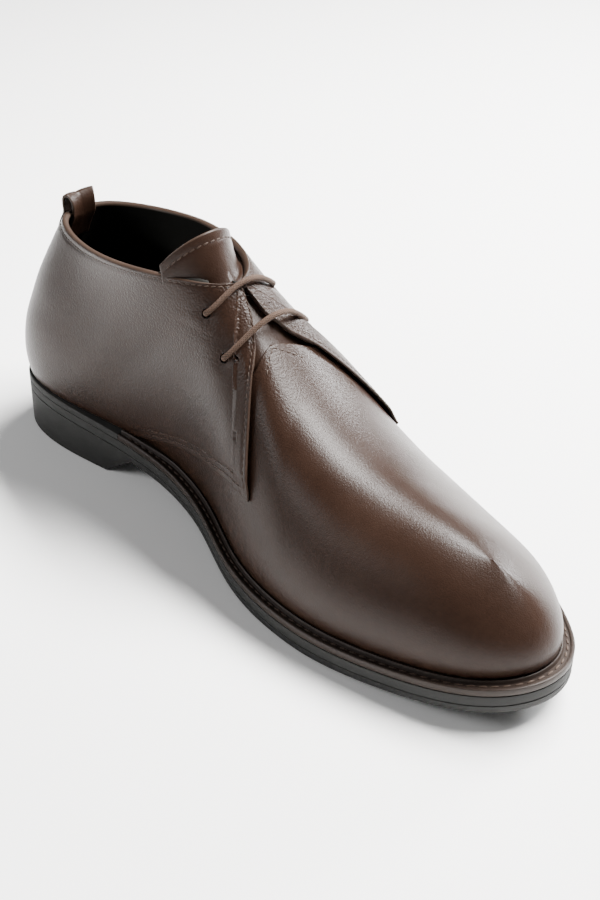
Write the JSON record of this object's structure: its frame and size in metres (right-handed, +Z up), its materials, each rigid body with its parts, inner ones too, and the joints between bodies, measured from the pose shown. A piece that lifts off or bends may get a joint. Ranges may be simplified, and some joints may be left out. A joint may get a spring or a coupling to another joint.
{
  "type": "chukka boot",
  "caption": "Low ankle boot of smooth leather with open quarters, thin round laces, welt, ribbed rubber outsole and heel; left foot, standing empty.",
  "frame": {"origin": "on the floor, under the middle of the boot's length and width", "axes": "+X from heel to toe, +Y to the outer side of the left foot, +Z up"},
  "size_m": [0.305, 0.1062, 0.1285],
  "materials": {
    "outsole_rubber": "matte moulded rubber, charcoal",
    "welt_leather": "dark brown welt leather with a stitched rib",
    "insole_leather": "dark lining leather",
    "upper_leather": "smooth dark brown leather, polished, fine grain",
    "tongue_leather": "smooth dark brown leather, fine grain",
    "loop_leather": "smooth dark brown leather strap",
    "lace_cord": "round waxed cotton cord, brown"
  },
  "bodies": {
    "root": {"outsole": "outsole_rubber", "welt": "welt_leather", "insole": "insole_leather", "upper": "upper_leather", "tongue": "tongue_leather", "pull_loop": "loop_leather", "lace_top": "lace_cord", "lace_lower": "lace_cord"}
  },
  "joints": []
}
